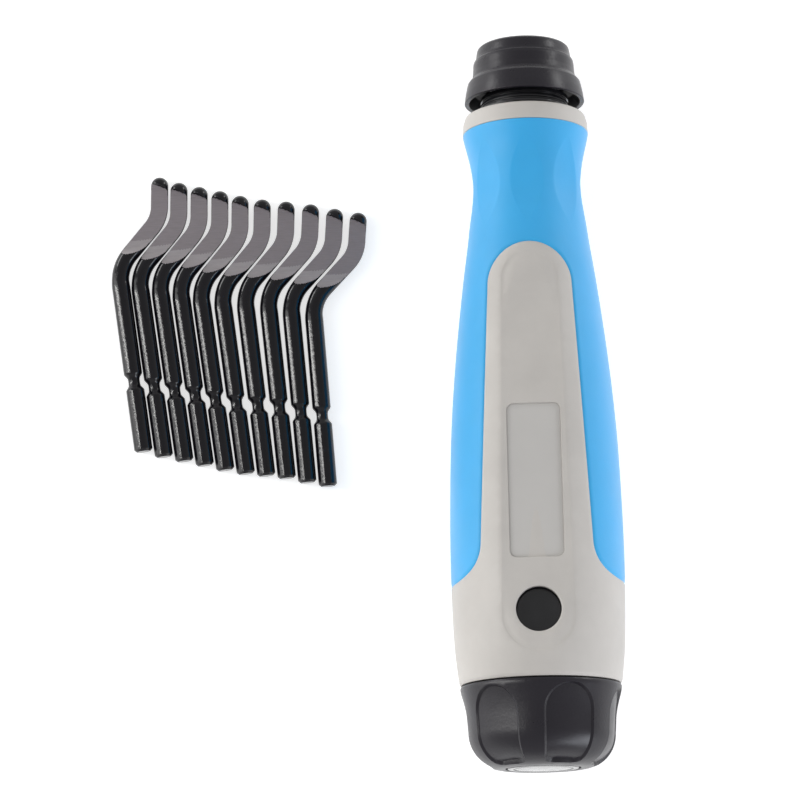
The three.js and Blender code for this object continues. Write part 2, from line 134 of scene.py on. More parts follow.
def spline(points, steps):
    """Points along the uniform Catmull-Rom spline through a list of pairs."""
    found = []
    last = len(points) - 1
    for i in range(last):
        p0, p1, p2, p3 = (points[min(last, max(0, i + k))] for k in (-1, 0, 1, 2))
        for j in range(steps):
            t = j / steps
            found.append(tuple(
                0.5 * (2 * b + (c - a) * t + (2 * a - 5 * b + 4 * c - d) * t * t
                       + (3 * b - a - 3 * c + d) * t ** 3)
                for a, b, c, d in zip(p0, p1, p2, p3)
            ))
    return found + [tuple(map(float, points[last]))]


def arc(centre, radius, start, end, steps):
    """Points on a circle's arc, with the angles in degrees."""
    angles = [lerp(start, end, i / steps) * DEG for i in range(steps + 1)]
    return [(centre[0] + radius * math.cos(a), centre[1] + radius * math.sin(a)) for a in angles]


def divided(points, step):
    """The same polyline with no stretch longer than step."""
    found = [tuple(points[0])]
    for a, b in zip(points, points[1:]):
        count = max(1, math.ceil(math.dist(a, b) / step))
        found += [tuple(lerp(p, q, i / count) for p, q in zip(a, b)) for i in range(1, count + 1)]
    return found


HANDLE_CURVE = spline(HANDLE_OUTLINE, 12)


def handle_radius(station):
    """The outer radius, a hair under the CAD model's, whose facets cut corners."""
    for (r0, t0), (r1, t1) in zip(HANDLE_CURVE, HANDLE_CURVE[1:]):
        if station <= t1:
            return lerp(r0, r1, (station - t0) / (t1 - t0)) - FACET_ALLOWANCE
    return HANDLE_CURVE[-1][0] - FACET_ALLOWANCE


# ---- mesh making ----


def new_piece(name, shape, body, nodes, materials, matrix=None, sharp=32, weld=0.002, looks=()):
    """A closed smooth-shaded mesh piece that rides on a body and stands for CAD nodes. shape
    is its vertices in millimetres and its faces, and looks each face's place in the materials."""
    vertices, faces = shape
    mesh = bpy.data.meshes.new(name)
    mesh.from_pydata([tuple(v) for v in vertices], [], faces)
    for material in materials:
        mesh.materials.append(material)
    for number, look in enumerate(looks):
        mesh.polygons[number].material_index = look
    work = bmesh.new()
    work.from_mesh(mesh)
    bmesh.ops.remove_doubles(work, verts=work.verts, dist=weld)
    bmesh.ops.dissolve_degenerate(work, edges=work.edges, dist=weld / 4)
    bmesh.ops.recalc_face_normals(work, faces=work.faces)
    bmesh.ops.transform(work, matrix=matrix or TOOL, verts=work.verts)
    work.to_mesh(mesh)
    work.free()
    mesh.shade_smooth()
    mesh.set_sharp_from_angle(angle=sharp * DEG)
    piece = bpy.data.objects.new(name, mesh)
    bpy.context.scene.collection.objects.link(piece)
    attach(piece, body)
    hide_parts(*nodes)
    return piece


def joined(*parts):
    """Several (vertices, faces) pairs as one."""
    vertices, faces = [], []
    for more, polygons in parts:
        start = len(vertices)
        vertices += [tuple(v) for v in more]
        faces += [tuple(i + start for i in polygon) for polygon in polygons]
    return vertices, faces


def filleted(outline, steps=4):
    """An outline of (radius, station) or (radius, station, fillet) with its corners rounded."""
    found = []
    count = len(outline)
    for i, corner in enumerate(outline):
        here = Vector(corner[:2])
        size = corner[2] if len(corner) > 2 else 0
        back = Vector(outline[i - 1][:2]) - here
        ahead = Vector(outline[(i + 1) % count][:2]) - here
        if not size or back.length < 1e-6 or ahead.length < 1e-6:
            found.append(tuple(here))
            continue
        half = back.angle(ahead) / 2
        reach = min(size / max(math.tan(half), 1e-3), back.length * 0.49, ahead.length * 0.49)
        start, end = here + back.normalized() * reach, here + ahead.normalized() * reach
        for j in range(steps + 1):
            t = j / steps
            point = start * (1 - t) ** 2 + here * 2 * t * (1 - t) + end * t * t
            found.append(tuple(point))
    return found


def turned(outline, facets=128, closed=False):
    """A lathe shape about local Y. It starts and ends on the axis, or closes on itself."""
    vertices, faces = [], []
    rows = outline + [outline[0]] if closed else outline
    for radius, station in rows:
        for i in range(facets):
            angle = 2 * math.pi * i / facets
            vertices.append((radius * math.sin(angle), station, radius * math.cos(angle)))
    for row in range(len(rows) - 1):
        for i in range(facets):
            j = (i + 1) % facets
            a, b = row * facets, (row + 1) * facets
            faces.append((a + i, a + j, b + j, b + i))
    return vertices, faces


def upright(shape, station):
    """A lathe shape turned to stand out of the tool's side at a station."""
    vertices, faces = shape
    return [(x, station - z, y) for x, y, z in vertices], faces


def tube(points, radius, sides=12):
    """A closed round wire along a list of points."""
    vertices, faces = [], []
    points = [Vector(p) for p in points]
    normal = None
    for i, point in enumerate(points):
        ahead = (points[min(i + 1, len(points) - 1)] - points[max(i - 1, 0)]).normalized()
        normal = (normal or ahead.orthogonal()).cross(ahead).cross(ahead).normalized() * -1
        across = ahead.cross(normal)
        for k in range(sides):
            angle = 2 * math.pi * k / sides
            vertices.append(point + (normal * math.cos(angle) + across * math.sin(angle)) * radius)
    for i in range(len(points) - 1):
        for k in range(sides):
            j = (k + 1) % sides
            a, b = i * sides, (i + 1) * sides
            faces.append((a + k, a + j, b + j, b + k))
    last = (len(points) - 1) * sides
    faces.append(tuple(reversed(range(sides))))
    faces.append(tuple(range(last, last + sides)))
    return vertices, faces


def near_lines(lines):
    points = [p for line in lines for p in line]
    tree = KDTree(len(points))
    for i, (x, y) in enumerate(points):
        tree.insert((x, y, 0), i)
    tree.balance()
    return lambda x, y: tree.find((x, y, 0))[2]


def panel(edges, guides, inside, place, box, spacing=0.8):
    """A closed skin over an unrolled region. edges are the polylines that bound it, and
    guides are polylines in it that its triangles follow. inside(x, y) says what belongs,
    and place(x, y, level) gives the outer point at level 0 and the inner one at level 1."""
    lines = edges + guides
    distance = near_lines(lines)
    points, segments = [], []
    for line in lines:
        start = len(points)
        points += [Vector(p) for p in line]
        segments += [(start + i, start + i + 1) for i in range(len(line) - 1)]
    (x0, y0), (x1, y1) = box
    row = 0
    y = y0
    while y <= y1:
        x = x0 + (spacing / 2 if row % 2 else 0)
        while x <= x1:
            if inside(x, y) and distance(x, y) > spacing * 0.55:
                points.append(Vector((x, y)))
            x += spacing
        row += 1
        y += spacing * 0.866
    found = delaunay_2d_cdt(points, segments, [], 0, 1e-5, False)
    flat, triangles = found[0], found[2]
    kept = []
    for face in triangles:
        cx = sum(flat[i][0] for i in face) / len(face)
        cy = sum(flat[i][1] for i in face) / len(face)
        if inside(cx, cy):
            kept.append(tuple(face))
    count = len(flat)
    vertices = [place(p[0], p[1], 0) for p in flat] + [place(p[0], p[1], 1) for p in flat]
    faces = kept + [tuple(i + count for i in reversed(face)) for face in kept]
    used = dict.fromkeys(pair for face in kept for pair in zip(face, face[1:] + face[:1]))
    for a, b in used:
        if (b, a) not in used and not seam_edge(flat[a], flat[b], x0, x1):
            faces.append((b, a, a + count, b + count))
    return drop_loose(vertices, faces)


def seam_edge(a, b, x0, x1):
    """Whether an edge lies where the unrolled skin closes on itself."""
    return any(abs(a[0] - x) < 1e-4 and abs(b[0] - x) < 1e-4 for x in (x0, x1))


def drop_loose(vertices, faces):
    order = {}
    for face in faces:
        for i in face:
            order.setdefault(i, len(order))
    kept = [None] * len(order)
    for i, j in order.items():
        kept[j] = vertices[i]
    return kept, [tuple(order[i] for i in face) for face in faces]


# ---- outlines on the handle ----

HALF_TURN = math.pi * WRAP


def unrolled(offset, station):
    """A point of a plan outline, given by its sideways offset, on the unrolled handle."""
    share = max(-1.0, min(1.0, offset / handle_radius(station)))
    return math.asin(share) * WRAP, station


def tongue_side(margin=0.0):
    """The right edge of the tongue on the unrolled handle, from the rear to its tip."""
    start = unrolled(TONGUE_REAR_HALF_WIDTH, TONGUE_FLARE_START)
    end = (FLARE_END, GRIP_REAR)
    flare = []
    for i in range(25):
        t = i / 24
        flare.append(tuple(
            a * (1 - t) ** 2 + b * 2 * t * (1 - t) + c * t * t
            for a, b, c in zip(end, FLARE_PULL, start)
        ))
    side = [
        unrolled(lerp(TONGUE_REAR_HALF_WIDTH, TONGUE_TIP_RADIUS, i / 60),
                 lerp(TONGUE_FLARE_START, TONGUE_TIP_CENTRE, i / 60))
        for i in range(1, 60)
    ]
    tip = [unrolled(*p) for p in arc((0, TONGUE_TIP_CENTRE), TONGUE_TIP_RADIUS, 0, 90, 24)]
    edge = flare + side + tip
    return inset(edge, margin) if margin else edge


def inset(line, margin):
    """A polyline moved sideways to its left by a margin."""
    found = []
    for i, point in enumerate(line):
        a, b = Vector(line[max(i - 1, 0)]), Vector(line[min(i + 1, len(line) - 1)])
        ahead = (b - a).normalized()
        left = Vector((-ahead.y, ahead.x))
        found.append(tuple(Vector(point) + left * margin))
    return found


def mirrored(line):
    return [(-x, y) for x, y in line]


def level_line(station, x0, x1, step=0.5):
    return divided([(x0, station), (x1, station)], step)


def seams(half, low, high, count):
    """The two lines along which an unrolled skin closes on itself."""
    return [[(s * half, t) for t in frange(low, high, count)] for s in (-1, 1)]


TONGUE_EDGE = tongue_side()
SHOULDERS = [level_line(GRIP_REAR, s * FLARE_END, s * HALF_TURN) for s in (-1, 1)]
MEETING_LINES = [TONGUE_EDGE, mirrored(TONGUE_EDGE), *SHOULDERS]  # of shell and grip


def tongue_half(station):
    """The tongue's unrolled half-width at a station, or 0 beyond its tip."""
    if station <= GRIP_REAR:
        return HALF_TURN + 1
    for (x0, y0), (x1, y1) in zip(TONGUE_EDGE, TONGUE_EDGE[1:]):
        if y0 <= station <= y1 and y1 > y0:
            return lerp(x0, x1, (station - y0) / (y1 - y0))
    return 0.0


def circle(station, radius, count=64):
    return [unrolled(radius * math.sin(2 * math.pi * i / count),
                     station + radius * math.cos(2 * math.pi * i / count))
            for i in range(count + 1)]


def land_half(station):
    share = (station - LAND_REAR) / (LAND_FRONT - LAND_REAR)
    return lerp(LAND_REAR_HALF, LAND_FRONT_HALF, share)


def land_inside(offset, station):
    """How far a plan point lies inside the land's outline, in millimetres."""
    low, high = LAND_REAR + LAND_REAR_HALF, LAND_FRONT - LAND_FRONT_HALF
    middle = min(high, max(low, station))
    return land_half(middle) - math.hypot(offset, station - middle)


def land_outline(margin):
    points = []
    low, high = LAND_REAR + LAND_REAR_HALF, LAND_FRONT - LAND_FRONT_HALF
    points += arc((0, high), land_half(high) - margin, 0, 180, 32)
    points += [(-land_half(t) + margin, t) for t in (lerp(high, low, i / 60) for i in range(1, 60))]
    points += arc((0, low), land_half(low) - margin, 180, 360, 36)
    points += [(land_half(t) - margin, t) for t in (lerp(low, high, i / 60) for i in range(1, 60))]
    return [unrolled(*p) for p in points + points[:1]]


def land_height(station):
    """The flat land's height. It rises to the round surface near both of its ends."""
    radius = handle_radius(station)
    low, high = LAND_REAR + LAND_REAR_HALF, LAND_FRONT - LAND_FRONT_HALF
    half = land_half(min(high, max(low, station)))
    from_end = min(station - LAND_REAR, LAND_FRONT - station)
    return lerp(radius, math.sqrt(radius * radius - half * half), smooth(-2.0, LAND_EASE, from_end))


def label_inside(offset, station):
    """Signed distance inside the label's rounded rectangle."""
    half_length = (LABEL_FRONT - LABEL_REAR) / 2
    dx = abs(offset) - (LABEL_HALF - LABEL_CORNER)
    dy = abs(station - (LABEL_FRONT + LABEL_REAR) / 2) - (half_length - LABEL_CORNER)
    outside = math.hypot(max(dx, 0), max(dy, 0)) + min(max(dx, dy), 0)
    return LABEL_CORNER - outside


def label_outline(margin, step=0.5):
    corner = max(0.05, LABEL_CORNER - margin)
    x, low, high = LABEL_HALF - margin, LABEL_REAR + margin, LABEL_FRONT - margin
    points = []
    for cx, cy, start in ((x, high, 0), (-x, high, 90), (-x, low, 180), (x, low, 270)):
        centre = (cx - math.copysign(corner, cx), cy - corner if cy == high else cy + corner)
        points += arc(centre, corner, start, start + 90, 5)
    return divided(points + points[:1], step)


def facet_half(station):
    """Half the angle, in radians, that one neck facet spans at a station."""
    share = (station - FACET_CENTRE) / FACET_HALF_LENGTH
    return FACET_HALF_ANGLE * DEG * max(0.0, 1 - share * share)


def facet_lines(scale=1.0):
    lines = []
    for k in range(FACET_COUNT + 1):
        centre = -math.pi + 2 * math.pi * k / FACET_COUNT
        for sign in (-1, 1):
            if (k == 0 and sign < 0) or (k == FACET_COUNT and sign > 0):
                continue
            line = []
            for i in range(33):
                station = FACET_CENTRE + FACET_HALF_LENGTH * lerp(-1, 1, i / 32)
                line.append(((centre + sign * scale * facet_half(station)) * WRAP, station))
            lines.append(line)
    return lines


def facet_radius(angle, station):
    """The neck's radius where a facet flattens it."""
    radius = handle_radius(station)
    pitch = 2 * math.pi / FACET_COUNT
    off = abs((angle + pitch / 2) % pitch - pitch / 2)
    half = facet_half(station)
    if off >= half:
        return radius
    return radius * math.cos(half) / math.cos(off)


def around(angle, station, radius):
    return (radius * math.sin(angle), station, radius * math.cos(angle))


def straight_in(angle, station, outer, inner):
    """The point under an outer one on an inner radius: straight down near the top, where
    the button's hole is, and radially elsewhere."""
    down = math.asin(max(-1.0, min(1.0, outer * math.sin(angle) / inner)))
    return around(lerp(down, angle, smooth(0.45, 0.9, abs(angle))), station, inner)


# ---- handle pieces ----


def shell_skin():
    """The grey rear sleeve and tongue, with the land, the label's recess and the hole."""
    hole = circle(BUTTON_STATION, BUTTON_HOLE)
    rear = level_line(SHELL_REAR, -HALF_TURN, HALF_TURN)
    edges = [*MEETING_LINES[:2], hole, rear, *SHOULDERS, *seams(HALF_TURN, SHELL_REAR, GRIP_REAR, 24)]
    guides = [tongue_side(m) for m in (0.12, 0.3, 0.6)]
    guides += [mirrored(g) for g in guides]
    guides += [circle(BUTTON_STATION, BUTTON_HOLE + m) for m in (0.1, 0.25, 0.5)]
    guides += [land_outline(m) for m in (-0.14, 0.0, 0.16, 0.8)]
    guides += [[unrolled(*p) for p in label_outline(m)] for m in (-0.12, -0.03, 0.06)]
    guides += [level_line(SHELL_REAR + m, -HALF_TURN, HALF_TURN) for m in (0.1, 0.3, 0.7)]
    guides += [level_line(GRIP_REAR - m, -HALF_TURN, HALF_TURN) for m in (0.12, 0.35)]
    rim = near_lines([divided(line, 0.1) for line in MEETING_LINES])
    lip = near_lines([divided(hole, 0.05)])

    def inside(x, y):
        if not SHELL_REAR < y or abs(x) > HALF_TURN or abs(x) > tongue_half(y):
            return False
        offset = handle_radius(y) * math.sin(x / WRAP) if abs(x) < HALF_TURN / 2 else 99
        return math.hypot(offset, y - BUTTON_STATION) > BUTTON_HOLE

    def place(x, y, level):
        angle = x / WRAP
        radius = handle_radius(y)
        if level:
            inner = NECK_BORE if y < GRIP_REAR + 0.4 else radius - SHELL_WALL
            return straight_in(angle, y, radius, inner)
        dip = 0.16 * math.exp(-((rim(x, y) / 0.16) ** 2))
        dip += 0.14 * math.exp(-((lip(x, y) / 0.14) ** 2))
        dip += 0.22 * math.exp(-(((y - SHELL_REAR) / 0.2) ** 2))
        px, _, pz = around(angle, y, radius - dip)
        if abs(angle) < math.pi / 2:
            into = land_inside(px, y)
            depth = max(0.0, pz + dip - land_height(y))
            pz -= depth * smooth(-0.1, 0.8, into) + LAND_STEP * smooth(-0.14, 0.16, into)
            pz -= LABEL_RECESS * smooth(-0.12, 0.05, label_inside(px, y))
        return (px, y, pz)

    box = ((-HALF_TURN, SHELL_REAR), (HALF_TURN, TONGUE_TIP_CENTRE + TONGUE_TIP_RADIUS))
    return panel(edges, guides, inside, place, box, 0.8)


def shell_core():
    """The hidden tube under the grip, with the collar that shows at its front."""
    outer = [(handle_radius(t) - 1.7, t) for t in frange(GRIP_REAR + 0.5, GRIP_FRONT - 0.1, 30)]
    front = [
        (handle_radius(GRIP_FRONT) - 1.7, GRIP_FRONT + 0.06),
        (handle_radius(GRIP_FRONT + 0.1) - 0.02, GRIP_FRONT + 0.06, 0.12),
        (handle_radius(GRIP_FRONT + 1.7), GRIP_FRONT + 1.7),
        (handle_radius(SHELL_FRONT) + 0.12, SHELL_FRONT - 0.3, 0.6),
        (handle_radius(SHELL_FRONT) - 0.7, SHELL_FRONT, 0.3),
        (7.9, SHELL_FRONT, 0.15), (7.75, 107.2), (5.3, 107.2), (5.3, 87.7), (0.0, 87.7),
    ]
    rear = [(0.0, 84.0), (7.5, 84.0, 0.5), (10.0, 58.0, 2), (10.0, 30.5, 0.3), (11.8, 30.5, 0.2)]
    return turned(filleted(rear + outer + front))


def body_shell(material):
    shape = joined(shell_skin(), shell_core())
    new_piece("shell", shape, "handle", ["body_shell"], [material])


def soft_grip(material):
    """The blue overmould: a sleeve with an opening for the tongue and facets at the neck."""
    front = level_line(GRIP_FRONT, -HALF_TURN, HALF_TURN)
    edges = [*MEETING_LINES[:2], front, *SHOULDERS, *seams(HALF_TURN, GRIP_REAR, GRIP_FRONT, 100)]
    guides = [tongue_side(-m) for m in (0.12, 0.35, 0.8)]
    guides = [[p for p in g if p[0] >= 0 and p[1] > GRIP_REAR + 0.02] for g in guides]
    guides += [mirrored(g) for g in guides]
    guides += [level_line(GRIP_FRONT - m, -HALF_TURN, HALF_TURN) for m in (0.12, 0.35)]
    for m in (0.12, 0.35, 0.8):
        guides += [level_line(GRIP_REAR + m, s * 23.0, s * HALF_TURN) for s in (-1, 1)]
    guides += facet_lines(1.0) + facet_lines(0.9) + facet_lines(1.1)
    rim = near_lines([divided(line, 0.1) for line in MEETING_LINES])

    def inside(x, y):
        if not GRIP_REAR < y < GRIP_FRONT or abs(x) > HALF_TURN:
            return False
        return y > TONGUE_TIP_CENTRE + TONGUE_TIP_RADIUS or abs(x) > tongue_half(y)

    def place(x, y, level):
        angle = x / WRAP
        if level:
            return around(angle, y, handle_radius(y) - GRIP_WALL)
        dip = 0.18 * math.exp(-((rim(x, y) / 0.16) ** 2))
        dip += 0.04 * smooth(GRIP_FRONT - 0.15, GRIP_FRONT, y)
        return around(angle, y, facet_radius(angle, y) - dip)

    box = ((-HALF_TURN, GRIP_REAR), (HALF_TURN, GRIP_FRONT))
    skin = panel(edges, guides, inside, place, box, 0.9)
    new_piece("grip", skin, "handle", ["soft_grip"], [material], sharp=50)


def label_plate(material):
    margin = -0.03
    edge = label_outline(margin, 0.4)
    guides = [label_outline(margin + m, 0.4) for m in (0.06, 0.16)]
    rim = near_lines([divided(edge, 0.05)])

    def inside(x, y):
        return label_inside(x, y) > margin

    def place(x, y, level):
        top = land_height(y) - LAND_STEP - LABEL_PLATE_DEPTH
        top -= 0.04 * math.exp(-((rim(x, y) / 0.06) ** 2))
        return (x, y, top - LABEL_PLATE * level)

    box = ((-LABEL_HALF - 1, LABEL_REAR), (LABEL_HALF + 1, LABEL_FRONT))
    plate = panel([edge], guides, inside, place, box, 0.8)
    new_piece("label_blank", plate, "handle", ["label_plate"], [material])


# ---- nose pieces ----


def chuck_core(material):
    body = [(7.5, 107.5, 0.2)]
    for station in (112.0, 112.85, 113.7):
        body += [(7.5, station - 0.2, 0.05), (7.2, station - 0.1, 0.05),
                 (7.2, station + 0.1, 0.05), (7.5, station + 0.2, 0.05)]
    outline = [
        (0.0, 88.0), (5.0, 88.0, 0.4), (5.0, 107.5), *body, (7.5, 114.7, 0.25), (4.0, 114.7),
        (4.0, 121.85), (3.5, 121.85), (3.5, 122.75), (4.0, 122.75), (4.0, 123.65, 0.3),
        (2.05, 123.65, 0.1), (1.65, 123.25, 0.1), (1.65, 107.4), (0.0, 107.4),
    ]
    shape = turned(filleted(outline), 160)
    new_piece("core", shape, "handle", ["chuck_core"], [material])


def release_sleeve(material):
    outer = [
        (10.25, 113.85, 0.14), (10.04, 115.4, 2), (9.82, 116.5, 1), (9.66, 117.2, 0.4),
        (9.3, 117.68, 0.3), (9.02, 117.86, 0.08), (8.84, 118.2, 0.5), (8.69, 119.2, 1.5),
        (8.63, 120.6, 0.8), (8.5, 121.15, 0.25), (8.26, 121.36, 0.07), (8.13, 121.8, 0.8),
        (7.98, 122.8, 1), (7.86, 123.3, 0.3), (7.5, 123.65, 0.25),
    ]
    inner = [
        (6.2, 123.65, 0.15), (6.2, 121.8), (4.75, 121.8), (4.2, 119.6), (4.2, 118.3, 0.1),
        (7.8, 118.3, 0.3), (7.8, 117.1, 0.3), (8.9, 116.1, 0.4), (9.5, 113.85, 0.12),
    ]
    shape = turned(filleted(outer + inner), 160, closed=True)
    new_piece("sleeve", shape, "sleeve", ["release_sleeve"], [material], sharp=40)


def retaining_ring(material):
    """A split steel ring with eyes at its ends, in a groove of the core."""
    vertices, faces = [], []
    rear, front, gap = 122.0, 122.6, 14
    count = 90
    for i in range(count + 1):
        angle = lerp(180 + gap, 540 - gap, i / count) * DEG
        from_end = min(i, count - i) / count
        outer = 5.1 + 0.7 * (1 - smooth(0.0, 0.05, from_end))
        section = [(3.7, rear), (outer, rear), (outer, front), (3.7, front)]
        vertices += [around(angle, t, r) for r, t in section]
    for i in range(count):
        for k in range(4):
            j = (k + 1) % 4
            faces.append((4 * i + k, 4 * i + j, 4 * i + 4 + j, 4 * i + 4 + k))
    faces += [(3, 2, 1, 0), tuple(4 * count + k for k in range(4))]
    shape = vertices, faces
    new_piece("ring", shape, "handle", ["retaining_ring"], [material])


def helix(radius, low, high, turns, count=64):
    steps = int(turns * count)
    return [(radius * math.sin(2 * math.pi * i / count), lerp(low, high, i / steps),
             radius * math.cos(2 * math.pi * i / count)) for i in range(steps + 1)]


def sleeve_spring(material):
    coil = tube(helix(5.8, 115.1, 117.85, 3), SPRING_WIRE)
    piece = new_piece("nose_spring", coil, "handle", ["sleeve_spring"], [material])
    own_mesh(piece)


def lock_balls(material):
    for i in range(3):
        angle = 120 * i * DEG
        centre = Vector(around(angle, BALL_STATION, BALL_ORBIT))
        half = [(BALL_RADIUS * math.sin(a), -BALL_RADIUS * math.cos(a)) for a in frange(0, math.pi, 24)]
        vertices, faces = turned(half, 48)
        shape = [Vector(v) + centre for v in vertices], faces
        new_piece(f"ball_{i + 1}_visual", shape, f"ball_{i + 1}", [f"lock_ball_{i + 1}"],
                  [material])


# ---- end cap pieces ----


def cap_profile():
    """The cap's outer outline from its end disc to its front edge, evenly divided."""
    start = CAP_DOME_RADIUS + 0.013
    dome = [(6.2, 0.013), (CAP_DOME_CENTRE, 0.013)]
    dome += arc((CAP_DOME_CENTRE, start), CAP_DOME_RADIUS, -90, 0, 40)[1:]
    side = [(12.4, start), (12.5, 7.2), (12.64, 9), (12.92, 11), (13.3, 13), (13.38, CAP_FRONT)]
    return divided(dome + spline(side, 8)[1:], 0.15)


CAP_PROFILE = cap_profile()
CAP_LENGTHS = [0.0]
for _a, _b in zip(CAP_PROFILE, CAP_PROFILE[1:]):
    CAP_LENGTHS.append(CAP_LENGTHS[-1] + math.dist(_a, _b))
CAP_RUN = CAP_LENGTHS[-1]
CAP_WRAP = 12.4
CAP_HALF_TURN = math.pi * CAP_WRAP


def cap_surface(run, depth):
    """(radius, station) at a length along the cap's outline, sunk by a depth."""
    i = 1
    while i < len(CAP_LENGTHS) - 1 and CAP_LENGTHS[i] < run:
        i += 1
    a, b = Vector(CAP_PROFILE[i - 1]), Vector(CAP_PROFILE[i])
    share = (run - CAP_LENGTHS[i - 1]) / (CAP_LENGTHS[i] - CAP_LENGTHS[i - 1])
    ahead = (b - a).normalized()
    point = a.lerp(b, share) + Vector((-ahead.y, ahead.x)) * depth
    return point.x, point.y


POCKET_REAR, POCKET_REAR_CORNER = 2.2, 1.7
POCKET_FRONT = CAP_RUN - 0.75


def pocket_half(run):
    """Half a pocket's width, which narrows with the dome."""
    return POCKET_HALF * min(1.0, cap_surface(run, 0)[0] / 12.5)


def pocket_distance(x, run):
    """How far an unrolled point lies inside its pocket, and its place across the pocket.
    Distances across it are measured on the real surface."""
    pitch = 2 * CAP_HALF_TURN / POCKET_COUNT
    first = POCKET_FIRST * DEG * CAP_WRAP
    off = (x - first + pitch / 2) % pitch - pitch / 2
    across = off / CAP_WRAP * cap_surface(run, 0)[0]
    half = pocket_half(run)
    if run > POCKET_FRONT - POCKET_HALF:
        inside = half - math.hypot(across, run - POCKET_FRONT + POCKET_HALF)
    else:
        corner = POCKET_REAR_CORNER
        dx = max(0.0, abs(across) - half + corner)
        dy = max(0.0, POCKET_REAR + corner - run)
        inside = min(half - abs(across), run - POCKET_REAR)
        if dx and dy:
            inside = corner - math.hypot(dx, dy)
    return inside, across / half


def pocket_outline(margin, centre):
    """One pocket's outline on the unrolled cap, around a centre, moved in by a margin."""
    front = arc((0, POCKET_FRONT - POCKET_HALF), POCKET_HALF - margin, 0, 180, 28)
    corner = POCKET_REAR_CORNER
    side = [(margin - pocket_half(t), t) for t in frange(front[-1][1], POCKET_REAR + corner, 20)[1:]]
    width = pocket_half(POCKET_REAR + corner) - corner
    turn = arc((-width, POCKET_REAR + corner), corner - margin, 180, 270, 10)[1:]
    left = front[14:] + side + turn
    points = left + [(-x, t) for x, t in reversed(left[1:])]
    found = []
    for across, run in divided(points + points[:1], 0.35):
        found.append((centre + across / cap_surface(run, 0)[0] * CAP_WRAP, run))
    return found


def cap_skin():
    pitch = 2 * CAP_HALF_TURN / POCKET_COUNT
    first = POCKET_FIRST * DEG * CAP_WRAP
    centres = [first + (k - POCKET_COUNT / 2) * pitch for k in range(POCKET_COUNT)]
    low = min(centres) - pitch / 2
    high = low + 2 * CAP_HALF_TURN
    edges = [level_line(t, low, high, 0.4) for t in (0, CAP_RUN)]
    edges += [[(x, t) for t in frange(0, CAP_RUN, 40)] for x in (low, high)]
    guides = [level_line(t, low, high) for t in (0.12, 0.35, CAP_RUN - 0.12, CAP_RUN - 0.35)]
    guides += [pocket_outline(m, c) for c in centres for m in (-0.1, 0.08, 0.26, 0.6)]

    def inside(x, y):
        return low < x < high and 0 < y < CAP_RUN

    def place(x, y, level):
        if level:
            radius, station = cap_surface(y, 1.2)
            return around(x / CAP_WRAP, station, radius)
        into, across = pocket_distance(x, y)
        deep = 0.3 + 0.3 * max(0.0, 1 - across * across) + 0.1 * (1 - smooth(0, 5, y - POCKET_REAR))
        sunk = smooth(-0.04, 0.22, into) * deep
        dip = 0.1 * math.exp(-((y / 0.12) ** 2))
        dip += 0.16 * math.exp(-(((CAP_RUN - y) / 0.15) ** 2))
        radius, station = cap_surface(y, sunk + dip)
        return around(x / CAP_WRAP, station, radius)

    return panel(edges, guides, inside, place, ((low, 0), (high, CAP_RUN)), 0.7)


def cap_cup():
    """The inside of the cap, under its outer skin."""
    outline = [
        (0.0, 1.3), (6.1, 1.3), (6.1, 0.3), (7.0, 1.5), (10.0, 3.2), (11.2, 5.8), (11.9, 12.0),
        (12.1, 13.4), (9.98, 13.4), (9.98, 5.2, 1.5), (8.0, 3.2, 1), (0.0, 3.2),
    ]
    return turned(filleted(outline))


def cap_neck():
    """The neck that plugs into the handle, with the seal's groove and the button's hole."""
    rear, front = SEAL_GROOVE_REAR, SEAL_GROOVE_FRONT
    half = math.pi * CAP_NECK

    def unroll(offset, station):
        return math.asin(offset / CAP_NECK) * CAP_NECK, station

    hole = [unroll(NECK_HOLE * math.sin(a), BUTTON_STATION + NECK_HOLE * math.cos(a))
            for a in frange(0, 2 * math.pi, 64)]
    edges = [hole] + [level_line(t, -half, half) for t in (CAP_NECK_REAR, CAP_NECK_FRONT)]
    edges += seams(half, CAP_NECK_REAR, CAP_NECK_FRONT, 24)
    guides = [level_line(t, -half, half)
              for t in (rear, rear + 0.1, front - 0.1, front, CAP_NECK_FRONT - 0.5)]

    def inside(x, y):
        offset = CAP_NECK * math.sin(x / CAP_NECK) if abs(x) < half / 2 else 99
        in_hole = math.hypot(offset, y - BUTTON_STATION) < NECK_HOLE
        return CAP_NECK_REAR < y < CAP_NECK_FRONT and abs(x) < half and not in_hole

    def place(x, y, level):
        if level:
            return straight_in(x / CAP_NECK, y, CAP_NECK, CAP_BORE)
        groove = smooth(rear, rear + 0.1, y) * (1 - smooth(front - 0.1, front, y))
        lead = 0.45 * smooth(CAP_NECK_FRONT - 0.5, CAP_NECK_FRONT, y)
        return around(x / CAP_NECK, y, CAP_NECK - SEAL_GROOVE_DEPTH * groove - lead)

    box = ((-half, CAP_NECK_REAR), (half, CAP_NECK_FRONT))
    return panel(edges, guides, inside, place, box, 1.0)


def button_boss():
    outline = [
        (0.0, 4.2), (5.0, 4.2, 0.5), (5.0, 10.35), (3.7, 10.35), (3.7, 10.2), (4.1, 10.2),
        (4.1, 5.0), (0.0, 5.0),
    ]
    return upright(turned(filleted(outline), 64), BUTTON_STATION)


def storage_cap(material):
    shape = joined(cap_skin(), cap_cup(), cap_neck(), button_boss())
    new_piece("cap", shape, "cap", ["storage_cap"], [material])


def end_disc(material):
    outline = [
        (0.0, 0.02), (4.6, 0.0, 0.2), (4.75, 0.14, 0.08), (4.95, 0.14, 0.08), (5.1, 0.0, 0.1),
        (5.9, 0.0, 0.25), (5.9, 1.0), (0.0, 1.0),
    ]
    shape = turned(filleted(outline), 128)
    new_piece("end_inlay", shape, "cap", ["end_disc"], [material])


